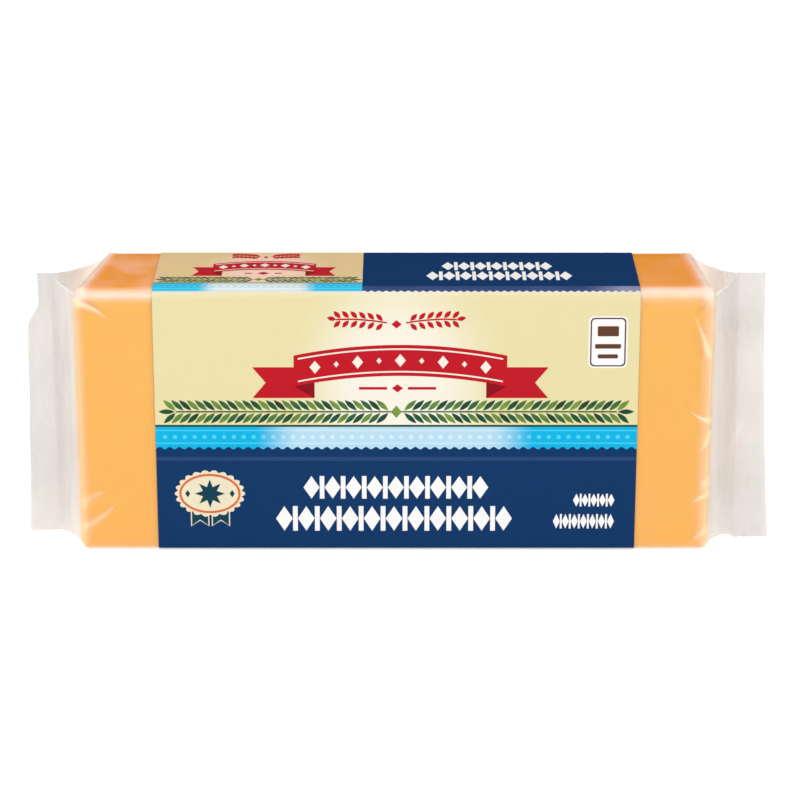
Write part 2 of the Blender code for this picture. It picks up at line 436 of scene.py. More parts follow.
# Where the finishes change, each as the places where a change begins and ends
ON_FRONT = (-12.0 * MM, -13.0 * MM)
AT_FRONT_EDGE = (-11.3 * MM, -11.7 * MM)
TOWARDS_FOOT = (40.0 * MM, 2.0 * MM)
# Where the painted shade on the cheese's top begins, and how far the painted shade beside the band
# reaches
ONTO_TOP = (BAR_TOP - 1.6 * MM, BAR_TOP - 0.4 * MM)
FROM_BAND = (-0.4 * MM, 1.1 * MM)
INTO_SEAL = (64.0 * MM, 69.0 * MM)
OUT_OF_SEAL = (71.0 * MM, 77.0 * MM)
OFF_SEAL_MIDDLE = (10.0 * MM, 24.0 * MM)
SEAL_MIDDLE = 30.0 * MM
BEYOND_BAR = (65.5 * MM, 69.0 * MM)
# Where the highlight painted on the print's upper front edge rises on the cream and the navy, how
# it sinks to the left, and where it grows strongest towards the right end
CREAM_HIGHLIGHT_RISE = (56.5 * MM, 57.2 * MM)
NAVY_HIGHLIGHT_RISE = (57.2 * MM, 57.5 * MM)
HIGHLIGHT_SINKS = (-45.0 * MM, -5.0 * MM)
HIGHLIGHT_DROP = 0.4 * MM
TO_RIGHT_END = (38.0 * MM, 48.0 * MM)
STRIP_PALES = (0.38, 0.58)

# Colours of the painted shade on the cheese beside the band and of the painted shadows under the
# film's creases
BAND_SHADE = (0.40, 0.17, 0.03)
WEDGE_SHADE = (0.60, 0.21, 0.02)

# Colours of the highlight painted on the print along the bar's upper front edge
CREAM_IN_HIGHLIGHT = (0.66, 0.64, 0.62)
NAVY_IN_HIGHLIGHT_END = (0.23, 0.24, 0.38)

# What the film's mesh says of it at each point: how much it hides, how pale it is and how much of
# the cheese's painted glow it carries
FILM_LOOKS = ("milk", "pale", "tinted")


def add_creases(tree, creases):
    """The masks of all these creases together."""
    total = 0.0
    for start, end, bow, width, strength in creases:
        first, last = (Vector((x, 0.0, z)) * MM for x, z in (start, end))
        values = {"Start": first, "Along": (last - first).normalized()}
        values.update({"Length": (last - first).length, "Bow": bow * MM, "Width": width * MM})
        total = grouped(tree, film_crease, Strength=strength, **values) + total
    return total


def on_front(value):
    """The value kept on the front alone."""
    return value * place(value.tree)[1].ramp(*ON_FRONT)


def cheese_finish(settings):
    """Orange cheese, a little patchy, with painted shade on its upper side, beside the band and
    under the film's creases, and the gloss of the film on it.
    """
    film = {"Coat_Weight": settings.gloss, "Coat_Roughness": 0.22}
    made, tree, shader = new_finish("cheese_under_film", Specular_IOR_Level=0.3, **film)
    patches = grouped(tree, soft_patches, Scale=38.0, Stretch=1.3, Spread=0.22)
    patches.ramp(0.0, 1.0, 0.36, 0.46).into(shader["Roughness"])
    x, _, z = place(tree)
    low_end = z.ramp(*TOWARDS_FOOT, 0.0, 0.12)
    # Painted shade: the cheese turns to its deep colour on its upper side
    top_shade = z.ramp(*ONTO_TOP, 0.0, 0.85)
    deep = (patches * 0.08 + low_end).math("MAXIMUM", top_shade)
    flesh = mix_colours(deep, settings.flesh, settings.deep)
    left, right = (off.ramp(*FROM_BAND, 0.35, 0.0) for off in (BAND_LEFT - x, x - BAND_RIGHT))
    shaded = mix_colours(left.math("MINIMUM", right), flesh, BAND_SHADE)
    # Painted shadows where the film's creases fall over the cheese
    crease_shadows = on_front(add_creases(tree, CREASE_SHADOWS))
    mix_colours(crease_shadows, shaded, WEDGE_SHADE).into(shader["Base Color"])
    add_bump(shader, grouped(tree, slack_film, Wave_Scale=50.0), 0.25 * MM)
    return made


def film_finish(settings):
    """Milky film. What a layer hides, how pale it is and the cheese's painted glow in it come from
    the mesh, with soft streaks, a painted warm glow in the right seal and creases drawn paler,
    partly as painted glints.
    """
    made, tree, shader = new_finish("milky_film", Specular_IOR_Level=0.4)
    creases = on_front(add_creases(tree, FRONT_CREASES))
    fin_creases = add_creases(tree, FIN_CREASES)
    milk, pale, tinted = (
        node_output(tree, "ShaderNodeAttribute", output="Fac", attribute_name=name)
        for name in FILM_LOOKS
    )
    x, _, z = place(tree)
    # Painted glow of the cheese: the right seal's inner part turns warm, most at middle height
    off_middle = (z - SEAL_MIDDLE).math("ABSOLUTE")
    inner_part = x.ramp(*INTO_SEAL).math("MINIMUM", x.ramp(*OUT_OF_SEAL, 1.0, 0.0))
    glow_share = inner_part * off_middle.ramp(*OFF_SEAL_MIDDLE, 1.0, 0.25)
    seal = mix_colours(glow_share, settings.grey, settings.warm)
    blotches = grouped(tree, soft_patches, Scale=60.0, Stretch=1.5, Spread=0.2)
    streaks = grouped(tree, soft_patches, Scale=150.0, Stretch=3.5, Spread=0.25)
    streaks.ramp(0.0, 1.0, 0.27, 0.35).into(shader["Roughness"])
    streaked = mix_colours(streaks * 0.14 + blotches * 0.16, seal, settings.pale)
    paler = mix_colours(pale.math("MAXIMUM", fin_creases), streaked, settings.pale)
    glowing_film = mix_colours(tinted, paler, settings.tinted)
    mix_colours(creases, glowing_film, settings.crease).into(shader["Base Color"])
    cover = milk * streaks.ramp(0.0, 1.0, 0.92, 1.12)
    cover.math("ADD", creases, use_clamp=True).into(shader["Alpha"])
    slack = grouped(tree, slack_film, Wave_Scale=90.0, Crease_Scale=420.0, Creases=0.3)
    beyond_bar = x.math("ABSOLUTE").ramp(*BEYOND_BAR)
    add_bump(shader, slack * beyond_bar + (creases + fin_creases) * 0.5, 0.35 * MM)
    return made


def new_print(name, specular=0.05):
    """The finish of printed film, with an uneven gloss and slow waves, but no colour yet."""
    made, tree, shader = new_finish(f"print_{name}", Specular_IOR_Level=specular)
    patches = grouped(tree, soft_patches, Scale=45.0, Spread=0.25)
    patches.ramp(0.0, 1.0, 0.34, 0.46).into(shader["Roughness"])
    add_bump(shader, grouped(tree, slack_film, Wave_Scale=40.0), 0.1 * MM)
    return made, tree, shader["Base Color"]


def ink_finish(name, tint, other=None, scale=120.0, spread=0.3):
    """One printed colour under clear film, faintly uneven or mottled with another."""
    if f"print_{name}" in bpy.data.materials:
        return bpy.data.materials[f"print_{name}"]
    made, tree, base = new_print(name)
    patches = grouped(tree, soft_patches, Scale=scale, Spread=spread)
    mix_colours(patches, tint, other or [channel * 0.95 for channel in tint]).into(base)
    return made


def edge_wash(tree, low, high):
    """A mask of the front's upper edge, where a highlight is painted on the print. It grows from
    low to high.
    """
    x, y, z = place(tree)
    low_on_left = x.ramp(*HIGHLIGHT_SINKS, low - HIGHLIGHT_DROP, low)
    return z.ramp(low_on_left, high, kind="LINEAR") * y.ramp(*AT_FRONT_EDGE)


def glowing_finish(name, tint, glow, centre, radius, haze):
    """A printed field with a soft glow at its middle, and a highlight painted at the bar's edge as
    strongly as haze says.
    """
    made, tree, base = new_print(name)
    offset = object_place(tree).vector("SUBTRACT", centre).vector("MULTIPLY", (1.0, 1.0, 0.8))
    glowing = offset.vector("LENGTH", output="Value").ramp(radius, 0.3 * radius)
    highlight_share = edge_wash(tree, *CREAM_HIGHLIGHT_RISE) * haze
    mix_colours(highlight_share, mix_colours(glowing, tint, glow), CREAM_IN_HIGHLIGHT).into(base)
    return made


def navy_finish(tint, highlight_tint):
    """The band's navy, with a highlight painted on the front's rounded upper edge that is strongest
    at its right end.
    """
    made, tree, base = new_print("navy", 0.0)
    patches = grouped(tree, soft_patches, Scale=70.0, Spread=0.3)
    highlight_share = edge_wash(tree, *NAVY_HIGHLIGHT_RISE) * patches.ramp(0.0, 1.0, 0.6, 1.0)
    far_end = place(tree)[0].ramp(*TO_RIGHT_END)
    mix_colours(highlight_share, tint, mix_colours(far_end, highlight_tint, NAVY_IN_HIGHLIGHT_END)).into(base)
    return made


def strip_finish(name, ends, middle, centre, reach):
    """A printed strip that pales from its ends to its middle. Its centre and reach are in mm."""
    made, tree, base = new_print(name)
    off_middle = (place(tree)[0] - centre * MM).math("ABSOLUTE")
    places = [share_of_reach * reach * MM for share_of_reach in STRIP_PALES]
    mix_colours(off_middle.ramp(*places), middle, ends).into(base)
    return made


# Pieces


def new_object(name, data):
    made = bpy.data.objects.new(name, data)
    bpy.context.scene.collection.objects.link(made)
    return made


def mesh_object(name, bm, finish):
    mesh = bpy.data.meshes.new(name)
    bm.to_mesh(mesh)
    bm.free()
    mesh.materials.append(finish)
    return new_object(name, mesh)


def add_piece(name, bm, finish, sharp_deg=35.0):
    """Adds a finished bmesh as a piece that rides with the bar."""
    piece = mesh_object(name, bm, finish)
    piece.data.shade_smooth()
    piece.data.set_sharp_from_angle(angle=math.radians(sharp_deg))
    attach(piece, BODY)
    return piece


def slice_along(bm, axis, places):
    """Cuts the whole mesh by planes across one axis."""
    for where in places:
        point, normal = Vector(), Vector()
        point[axis], normal[axis] = where, 1.0
        everything = bm.verts[:] + bm.edges[:] + bm.faces[:]
        bmesh.ops.bisect_plane(bm, geom=everything, plane_co=point, plane_no=normal, dist=1e-7)


def evenly(low, high, step):
    """Places between low and high, about a step apart, without the ends."""
    count = max(round((high - low) / step), 1)
    return [mix(low, high, index / count) for index in range(1, count)]


def stepped(begin, *stops):
    """Places from begin outward: up to each stop by that stop's step, with the stop itself."""
    places = []
    for stop, step in stops:
        places += [*evenly(begin, stop, step), stop]
        begin = stop
    return places


def round_off(bm, geometry, radius, segments, affect="EDGES"):
    bmesh.ops.bevel(
        bm,
        geom=geometry,
        offset=radius,
        offset_type="OFFSET",
        segments=segments,
        profile=0.5,
        affect=affect,
        material=-1,
    )


def long_edges(bm):
    """The edges that run along the bar and aren't round yet."""
    along = [edge for edge in bm.edges if edge.calc_length() > HALF_LENGTH]
    return [edge for edge in along if edge.calc_face_angle(0.0) > math.radians(50.0)]


def build_cheese(settings):
    """The bar of cheese: a box with leaning ends, rounded edges and faces that wander slightly."""
    bm = bmesh.new()
    bmesh.ops.create_cube(bm, size=1.0)
    size = (2.0 * HALF_LENGTH, BAR_DEPTH + 2.0 * CHEESE_LIFT, BAR_HEIGHT + 2.0 * CHEESE_LIFT)
    bmesh.ops.scale(bm, vec=size, verts=bm.verts)
    bmesh.ops.translate(bm, vec=(0.0, 0.0, (BAR_FOOT + BAR_TOP) / 2.0), verts=bm.verts)
    for vertex in bm.verts:
        side = RIGHT if vertex.co.x > 0.0 else LEFT
        vertex.co.x = side * (end_plane(side, vertex.co.y) + CHEESE_END_LIFT)
    upper = [edge for edge in long_edges(bm) if edge.verts[0].co.z > BAR_HEIGHT / 2.0]
    front_top = [edge for edge in upper if edge.verts[0].co.y < 0.0]
    round_off(bm, front_top, settings.edge_radius, 6)
    round_off(bm, long_edges(bm), CHEESE_EDGE_RADIUS, 5)
    ends = [face for face in bm.faces if abs(face.normal.x) > 0.7]
    round_off(bm, list({edge for face in ends for edge in face.edges}), END_EDGE_RADIUS, 4)
    extent = ((-HALF_LENGTH, HALF_LENGTH), (-HALF_DEPTH, HALF_DEPTH), (BAR_FOOT, BAR_TOP))
    for axis, (low, high) in enumerate(extent):
        slice_along(bm, axis, evenly(low + CHEESE_STEP, high - CHEESE_STEP, CHEESE_STEP))
    bm.normal_update()
    shifts = [vertex.normal * wander(vertex.co, settings.unevenness) for vertex in bm.verts]
    for vertex, shift in zip(bm.verts, shifts):
        vertex.co += shift
    bmesh.ops.recalc_face_normals(bm, faces=bm.faces)
    piece = add_piece("cheese_bar", bm, cheese_finish(settings), 60.0)
    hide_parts("cheese_block")


# How close the broad and the fine unevenness of the cheese's faces are, for each metre
CHEESE_WAVES = (70.0, 210.0)


def wander(point, height):
    """How far a cut face of the cheese stands out or in at a point."""
    broad, fine = (noise.noise(point * scale) for scale in CHEESE_WAVES)
    return height * (broad + 0.5 * fine)


# The film

RING_MARKS = (S_FRONT, S_TOP, S_TOP + HALF_DEPTH, S_BACK, S_UNDER, S_UNDER + HALF_DEPTH)
TUCK_MARKS = (RING_MARKS[2], RING_MARKS[5])
RIDGE_RADIUS = 0.3 * MM
FOLD_RADIUS = 0.5 * MM
SHOULDER = 0.15 * MM
WINDOW_BEGIN = 53.0 * MM

# How far out the film's stations go, and by which steps: on the bar in mm, beyond it as reach
BAR_STEPS = ((48.0, 6.0), (53.0, 0.3), (64.0, 0.5))
END_STEPS = ((2.0, 0.05), (3.0, 0.04))

# The milky band at each end of the bar, where the film leaves the cheese and, wider on the top, a
# painted highlight: its width in mm and the cheese's painted glow in it
MILK_WIDTH = {LEFT: 0.95, RIGHT: 1.45}
MILK_WIDTH_ON_TOP = 1.8
END_GLOW = {LEFT: 1.0, RIGHT: 0.85}
END_GLOW_ON_TOP = 0.3

# The milky line along the front's upper edge, mostly a painted highlight: how far over the edge it
# runs, and its width
EDGE_HIGHLIGHT_LINE = {LEFT: (-0.8 * MM, 1.4 * MM), RIGHT: (0.15 * MM, 2.0 * MM)}

# How close the seals' wrinkles are, outwards and upwards, for each metre
BROAD_WRINKLES = (160.0, 55.0)
FINE_WRINKLES = (420.0, 120.0)

# How far out each tent carries the cheese's painted glow, as a share of its length, and the haze on
# each half of the top, partly painted reflections
GLOW_REACH = {LEFT: 0.25, RIGHT: 0.18}
TOP_HAZE_AND_SHEEN = {LEFT: 0.22, RIGHT: 0.06}


def lowness(z):
    """1 at the bar's foot, 0 at its top."""
    return clamp((BAR_TOP - z) / BAR_HEIGHT)


def seal_edge(side, z):
    """How far from the middle the seal's cut edge lies at height z."""
    notch = SEAL_NOTCH[side] * smooth_step(z, NOTCH_LOW, NOTCH_HIGH)
    return SEAL_REACH[side] - notch + SEAL_FLARE[side] * lowness(z) ** 2.0


def seal_bend(side, z):
    """How far the seal stands to the front of the middle plane at height z."""
    return -SEAL_BEND[side] * lowness(z) ** 1.7


def seal_ripple(side, x, z):
    """The seal's slow waves."""
    return RIPPLE_HEIGHT * math.sin(2.0 * math.pi * (z + 0.35 * x) / RIPPLE_PITCH + 0.9 * side)


def seal_wrinkle(side, x, z, height):
    """The seal's small wrinkles, which run upright."""
    broad = noise.noise(Vector((x * BROAD_WRINKLES[0], z * BROAD_WRINKLES[1], 3.0 * side)))
    fine = noise.noise(Vector((x * FINE_WRINKLES[0], z * FINE_WRINKLES[1], 7.0 * side)))
    return height * (broad + 0.4 * fine)


def film_lift(distance):
    """How far the film lies from the bar's faces: it dips to pass under the band."""
    inside = min(distance - BAND_LEFT, BAND_RIGHT - distance)
    return mix(FILM_LIFT, FILM_UNDER_BAND, smooth_step(inside, -0.5 * MM, -0.1 * MM))


def film_corners(reach, lift, fin_half):
    """The film's section: its corners in (y, z) from the front foot, up and round, with both tucks.

    reach is 0 at the middle of the bar, 1 at its end, 2 at the root of the seal and 3 at its
    cut edge. Half of the bar's depth of film runs from each ridge to the tuck between them.
    """
    tent = clamp(reach - 1.0)
    from_end = (1.0 - min(reach, 1.0)) * HALF_LENGTH
    out = lift - SHOULDER * smooth_step(from_end, 1.2 * MM, 0.0)
    half = mix(HALF_DEPTH + out, fin_half, 1.0 - (1.0 - tent) ** 1.15)
    sag = TENT_SAG * math.sin(math.pi * tent)
    foot = mix(BAR_FOOT - out, SEAL_FOOT, tent) + sag
    head = mix(BAR_TOP + out, BAR_TOP - SEAL_DROP, tent) - sag
    tuck = math.sqrt(max((HALF_DEPTH + out) ** 2 - half**2, 0.0))
    front = [Vector((-half, foot)), Vector((-half, head)), Vector((0.0, head - tuck))]
    back = [Vector((half, head)), Vector((half, foot)), Vector((0.0, foot + tuck))]
    return front + back, half


def on_ring(corners, s):
    """The point at s on the ring with sharp corners."""
    s %= S_ROUND
    index = max(number for number, mark in enumerate(RING_MARKS) if mark <= s)
    following = (*RING_MARKS, S_ROUND)[index + 1]
    share_of_side = (s - RING_MARKS[index]) / (following - RING_MARKS[index])
    return corners[index].lerp(corners[(index + 1) % len(corners)], share_of_side)


def on_rounded_ring(corners, s, lift, tent):
    """The point at s on the ring, whose corners are arcs. The ridges grow sharp along the tent."""
    for mark, corner in zip(RING_MARKS, corners):
        full = FOLD_RADIUS if mark in TUCK_MARKS else CORNER_RADII[mark] + lift
        radius = mix(full, RIDGE_RADIUS, smooth_step(tent, 0.0, 0.5))
        offset = (s - mark + S_ROUND / 2.0) % S_ROUND - S_ROUND / 2.0
        if abs(offset) < radius:
            before, after = on_ring(corners, mark - radius), on_ring(corners, mark + radius)
            turn = (corner - before).angle(after - corner)
            weight = max(math.cos(turn / 2.0), 0.35)
            t = (offset + radius) / (2.0 * radius)
            shares = ((1.0 - t) ** 2, 2.0 * weight * t * (1.0 - t), t * t)
            return (before * shares[0] + corner * shares[1] + after * shares[2]) / sum(shares)
    return on_ring(corners, s)


def film_point(side, reach, s, settings):
    """Where the film is at this reach to one side and this way round."""
    tent, beyond = clamp(reach - 1.0), clamp(reach - 2.0)
    nominal = min(reach, 1.0) * HALF_LENGTH
    lift = film_lift(side * nominal)
    corners, half = film_corners(reach, lift, settings.fin_half)
    y, z = on_rounded_ring(corners, s, lift, tent)
    skew = HALF_LENGTH - end_plane(side, clamp(y / half, -1.0, 1.0) * HALF_DEPTH)
    start = nominal - skew * clamp((nominal - WINDOW_BEGIN) / (HALF_LENGTH - WINDOW_BEGIN))
    root = HALF_LENGTH + TENT_LENGTH
    distance = mix(mix(start, root, tent), seal_edge(side, z), beyond)
    waves = seal_bend(side, z) + seal_ripple(side, distance, z)
    y += tent**1.5 * waves + tent * seal_wrinkle(side, distance, z, settings.wrinkle)
    return Vector((side * distance, y, z))


def edge_milk(side, reach, s):
    """How milky the film is over the bar's edges: the haze of stretched film and painted
    highlights, strongest along the front's upper edge.
    """
    wave = noise.noise(Vector((side * reach * HALF_LENGTH * 120.0, 0.0, 3.0)))
    middle, width = EDGE_HIGHLIGHT_LINE[side]
    front_top = (0.52 + 0.1 * wave) * bell(s - S_TOP - middle - 0.3 * MM * wave, width)
    front_foot = 0.08 * bell(s - 0.5 * MM, 1.0 * MM)
    back = 0.1 * bell(s - S_BACK, 1.0 * MM) + 0.1 * bell(s - S_UNDER, 1.2 * MM)
    return max(front_top, front_foot, back)


def near_top(s):
    """1 on the bar's top and along its two edges, and 0 further down."""
    rising = smooth_step(s, S_TOP - 4.5 * MM, S_TOP - 1.0 * MM)
    return rising * smooth_step(s, S_BACK + 2.0 * MM, S_BACK)


def looks_on_bar(side, reach, s, point, haze):
    """How much the film over the cheese hides, how pale it is and how much of the cheese's painted
    glow it carries.
    """
    from_end = (1.0 - reach) * HALF_LENGTH
    # On the top the film is hazy in patches, partly painted reflections
    if S_TOP < s < S_BACK:
        at = Vector((point.x * 120.0, point.y * 110.0, 2.0 + side))
        patch = smooth_step(noise.noise(at) + 0.4 * noise.noise(at * 3.0), -0.5, 0.6)
        haze = TOP_HAZE_AND_SHEEN[side] * patch
    clinging = haze + edge_milk(side, reach, s)
    on_top = near_top(s)
    width = mix(MILK_WIDTH[side], MILK_WIDTH_ON_TOP, on_top) * MM
    by_end = clamp(mix(1.0, 1.45, on_top) * bell(from_end, width))
    tint = mix(END_GLOW[side], END_GLOW_ON_TOP, on_top) * bell(from_end, 1.35 * width)
    return clamp(mix(clinging, 0.85, by_end)), 1.0, tint


def looks_beyond_bar(side, reach, s, point, seal_milk):
    """The same for the tents and the seals."""
    tent = clamp(reach - 1.0)
    on_top = S_TOP < s < S_BACK
    ridge = min(abs(s - S_TOP), abs(s - S_BACK))
    # Painted highlights along the tent's ridges
    ridge_highlight = 0.22 * bell(ridge, 0.5 * MM) * smooth_step(tent, 1.0, 0.6)
    milk = mix(0.85, 0.78, smooth_step(tent, 0.0, 0.2))
    milk = mix(milk, seal_milk, smooth_step(tent, 0.5, 1.0))
    if on_top or s > S_UNDER:
        milk = mix(milk, 0.08, smooth_step(tent, 0.55, 1.0))
    soft = 0.5 + 0.5 * noise.noise(Vector((point.x * 50.0, 5.0 * side, point.z * 75.0)))
    pale = mix(0.6, 0.05, smooth_step(tent, 0.15, 1.0)) + 0.25 * soft + 3.0 * ridge_highlight
    if side == LEFT:
        pale += 0.2 * smooth_step(point.z, 12.0 * MM, 1.0 * MM)
    else:
        # Paler towards the right seal's cut edge, partly as a painted sheen
        pale += 0.15 * smooth_step(reach, 2.8, 3.0)
    if on_top:
        pale += 0.4
    cling = 0.9 + 0.4 * noise.noise(Vector((point.z * 160.0, 3.0 * side, 0.0)))
    # The cheese's painted glow, fading out along the tent
    faded = smooth_step(tent, GLOW_REACH[side], 0.0)
    tint = clamp(mix(cling * faded, 1.0, faded**4))
    tint *= mix(END_GLOW[side], END_GLOW_ON_TOP, near_top(s))
    return clamp(milk + ridge_highlight), clamp(pale), tint


def film_stations():
    """The film's stations from its left cut edge to its right one, as (side, reach)."""
    on_bar = stepped(0.0, *BAR_STEPS, (HALF_LENGTH / MM, 0.2))
    outward = [distance * MM / HALF_LENGTH for distance in on_bar[:-1]]
    outward += [1.0, *stepped(1.0, *END_STEPS)]
    left = [(LEFT, reach) for reach in reversed(outward)]
    return [*left, (RIGHT, 0.0), *((RIGHT, reach) for reach in outward)]


def film_ring():
    """The places round the film, closer together at its ridges."""
    near, fine = FRONT_TOP_RADIUS, 0.4 * MM
    upright = stepped(0.0, (near, fine), (BAR_HEIGHT - near, 0.7 * MM), (BAR_HEIGHT, fine))
    inward = stepped(0.0, (near, fine), (HALF_DEPTH, 0.9 * MM))
    across = [*inward, *(BAR_DEPTH - step for step in reversed(inward[:-1])), BAR_DEPTH]
    ring = [S_FRONT]
    for begin, steps in ((S_FRONT, upright), (S_TOP, across), (S_BACK, upright), (S_UNDER, across)):
        ring += [begin + step for step in steps]
    return ring


def build_film(settings):
    """The bag: one sheet wrapped round the bar, tucked in at its ends and closed to two seals."""
    stations, ring = film_stations(), film_ring()
    last_station, last_ring = len(stations) - 1, len(ring) - 1
    bm = bmesh.new()
    bmesh.ops.create_grid(bm, x_segments=last_station, y_segments=last_ring, size=0.5)
    layers = [bm.verts.layers.float.new(name) for name in FILM_LOOKS]
    seam = []
    for vertex in bm.verts:
        station = round((vertex.co.x + 0.5) * last_station)
        turn = round((vertex.co.y + 0.5) * last_ring)
        side, reach = stations[station]
        s = ring[turn]
        vertex.co = film_point(side, reach, s, settings)
        if reach <= 1.0:
            looks = looks_on_bar(side, reach, s, vertex.co, settings.haze)
        else:
            looks = looks_beyond_bar(side, reach, s, vertex.co, settings.milk)
        for layer, value in zip(layers, looks):
            vertex[layer] = value
        if turn in (0, last_ring):
            seam.append(vertex)
    bmesh.ops.remove_doubles(bm, verts=seam, dist=1e-6)
    for side in (LEFT, RIGHT):
        open_edges = [edge for edge in bm.edges if edge.is_boundary]
        rim = [edge for edge in open_edges if edge.verts[0].co.x * side > HALF_LENGTH]
        cap = bmesh.ops.edgeloop_fill(bm, edges=rim)["faces"]
        bmesh.ops.triangulate(bm, faces=cap)
    bmesh.ops.recalc_face_normals(bm, faces=bm.faces)
    piece = add_piece("film_wrap", bm, film_finish(settings), 50.0)
    piece.visible_shadow = False
    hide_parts("film_end_left", "film_end_right")


# The print: flat shapes in mm, and how they are wrapped round the bar


def inward(angle):
    """The way into the bar in (y, z), through its front at an angle of 0, next through its top."""
    return Vector((math.cos(angle), -math.sin(angle)))


def bar_point(x, s, lift):
    """Where the flat print's point (x, s), in metres, lies on the bar, lift outside its face."""
    s %= S_ROUND
    marks = tuple(CORNER_RADII)
    face = max(number for number in range(4) if marks[number] <= s)
    begin, end = marks[face], marks[face + 1]
    at_end = s - begin > (end - begin) / 2.0
    corner_mark = end if at_end else begin
    radius = CORNER_RADII[corner_mark]
    turned = 0.5 * clamp(1.0 - abs(s - corner_mark) / radius)
    angle = face + (turned if at_end else -turned)
    held = clamp(s - begin, radius, end - begin - radius)
    ahead, into, bent = (inward(turns * math.pi / 2.0) for turns in (face - 1, face, angle))
    y, z = BAR_CORNERS[face] + held * ahead + radius * into - (radius + lift) * bent
    return Vector((x, y, z))


def wrap(bm, outer, thickness, rise=None):
    """Gives a flat drawing in mm a thickness and wraps it round the bar, up to the height outer."""
    bmesh.ops.scale(bm, vec=(MM, MM, MM), verts=bm.verts)
    bm.normal_update()
    many_sided = [face for face in bm.faces if len(face.verts) > 4]
    bmesh.ops.triangulate(bm, faces=many_sided)
    ways = [vertex.co.y for vertex in bm.verts]
    for mark, radius in CORNER_RADII.items():
        bends = [mark + radius * (step / 5.0 - 1.0) for step in range(11)]
        slice_along(bm, 1, [bend for bend in bends if min(ways) < bend < max(ways)])
    raised = bmesh.ops.extrude_face_region(bm, geom=bm.faces[:])["geom"]
    outer_side = [item for item in raised if isinstance(item, bmesh.types.BMVert)]
    bmesh.ops.translate(bm, vec=(0.0, 0.0, thickness), verts=outer_side)
    for vertex in bm.verts:
        x, s, height = vertex.co
        extra = rise(s) if rise else 0.0
        vertex.co = bar_point(x, s, outer - thickness + height + extra)
    bmesh.ops.recalc_face_normals(bm, faces=bm.faces)


def lay_print(name, layer, finish, bm):
    """Adds a flat drawing as a printed layer. Layers are numbered outward from the band."""
    wrap(bm, BAND_SKIN + layer * LAYER_STEP, INK_THICKNESS)
    add_piece(name, bm, finish)


def print_piece(name, layer, finish, draw, *shapes):
    """Draws these shapes, each by its values, and lays them as one printed layer."""
    bm = bmesh.new()
    for values in shapes:
        draw(bm, *values)
    lay_print(name, layer, finish, bm)


def set_down(bm, corners, x, s, width, height, angle=0.0):
    """Brings a shape of size 1 to its size, turns it and moves it to its place."""
    bmesh.ops.scale(bm, vec=(width, height, 1.0), verts=corners)
    if angle:
        bmesh.ops.rotate(bm, matrix=Matrix.Rotation(angle, 3, "Z"), verts=corners)
    bmesh.ops.translate(bm, vec=(x, s, 0.0), verts=corners)


def plate(bm, x, s, width, height, rounding=0.0):
    """Draws a rectangle about its middle, with round corners if wanted."""
    corners = bmesh.ops.create_grid(bm, x_segments=1, y_segments=1, size=0.5)["verts"]
    set_down(bm, corners, x, s, width, height)
    if rounding:
        round_off(bm, corners, rounding, 5, "VERTICES")


def bar(bm, left, right, low, high):
    """Draws a rectangle between its edges."""
    plate(bm, (left + right) / 2.0, (low + high) / 2.0, right - left, high - low)


def between(bm, left, right, steps, low, high):
    """Draws the area between two lines, each of them a number or a function of x."""
    made = bmesh.ops.create_grid(bm, x_segments=steps, y_segments=1, size=0.5)["verts"]
    for vertex in made:
        x = mix(left, right, vertex.co.x + 0.5)
        line = high if vertex.co.y > 0.0 else low
        vertex.co = (x, line(x) if callable(line) else line, 0.0)


def outline(bm, *points):
    """Draws a shape through its points."""
    bm.faces.new([bm.verts.new((*point, 0.0)) for point in points])


def new_disc(bm, sides):
    """Draws a disc of diameter 1 at the origin. The first of its corners points up."""
    return bmesh.ops.create_circle(bm, cap_ends=True, segments=sides, radius=0.5)["verts"]


def disc(bm, x, s, width, height, lobes=0, depth=0.0, sides=48):
    """Draws a disc or an oval, with a lobed edge if wanted."""
    corners = new_disc(bm, sides)
    for corner in corners:
        turn = math.atan2(corner.co.y, corner.co.x)
        corner.co *= 1.0 - depth + depth * abs(math.cos(lobes * turn / 2.0))
    set_down(bm, corners, x, s, width, height)


def lozenge(bm, x, s, width, height):
    set_down(bm, new_disc(bm, 4), x, s, width, height)


def leaf(bm, side, x, s, long, wide, angle):
    """Draws a pointed leaf that grows from a point to one side, at an angle to the bar's length."""
    corners = new_disc(bm, 16)
    for corner in corners:
        along = corner.co.x + 0.5
        corner.co = (along, math.copysign(0.5 * math.sin(math.pi * along), corner.co.y), 0.0)
    set_down(bm, corners, x, s, long, wide, angle if side == RIGHT else math.pi - angle)


# The flat print's fields and where they meet, in mm
BAND_START, BAND_END = BAND_LEFT / MM, BAND_RIGHT / MM
TOP, BACK = S_TOP / MM, S_BACK / MM
CREAM_LOW = 27.85
BLUE_LOW = 23.1
FRONT_EDGE = TOP + 0.16
TOP_SPLIT = -6.7
TOP_BLUE_HIGH = TOP + 4.55
BACK_CREAM = (BACK + 2.5, BACK + 30.0)
# A painted reflection line across the navy field
REFLECTION_LINE = (20.25, 21.1)
LAP_BEGIN = -12.0
LAP_WIDTH = 5.0

# Rows of beads: the place of the row's middle line and the size of its beads
FRONT_BEADS = (25.6, 0.95)
TOP_BEADS = (TOP + 2.3, 0.8)

# Scallops, and how much smaller they and the beads' pitch are on the top
SCALLOP_START = -48.35
SCALLOP_PITCH = 2.066
SCALLOP_HEIGHT = 0.27
STEPS_A_SCALLOP = 10
TOP_SCALE = 0.74

# The middle and the reach of the cream fields' glows, in metres
FRONT_GLOW_AT = ((0.4 * MM, -HALF_DEPTH, 36.8 * MM), 24.0 * MM)
TOP_GLOW_AT = ((-27.5 * MM, 1.0 * MM, BAR_TOP), 15.0 * MM)

# The middle and half the length of each blue strip
FRONT_STRIP = (0.0, BAND_END)
TOP_STRIP = ((BAND_START + TOP_SPLIT) / 2.0, (TOP_SPLIT - BAND_START) / 2.0)

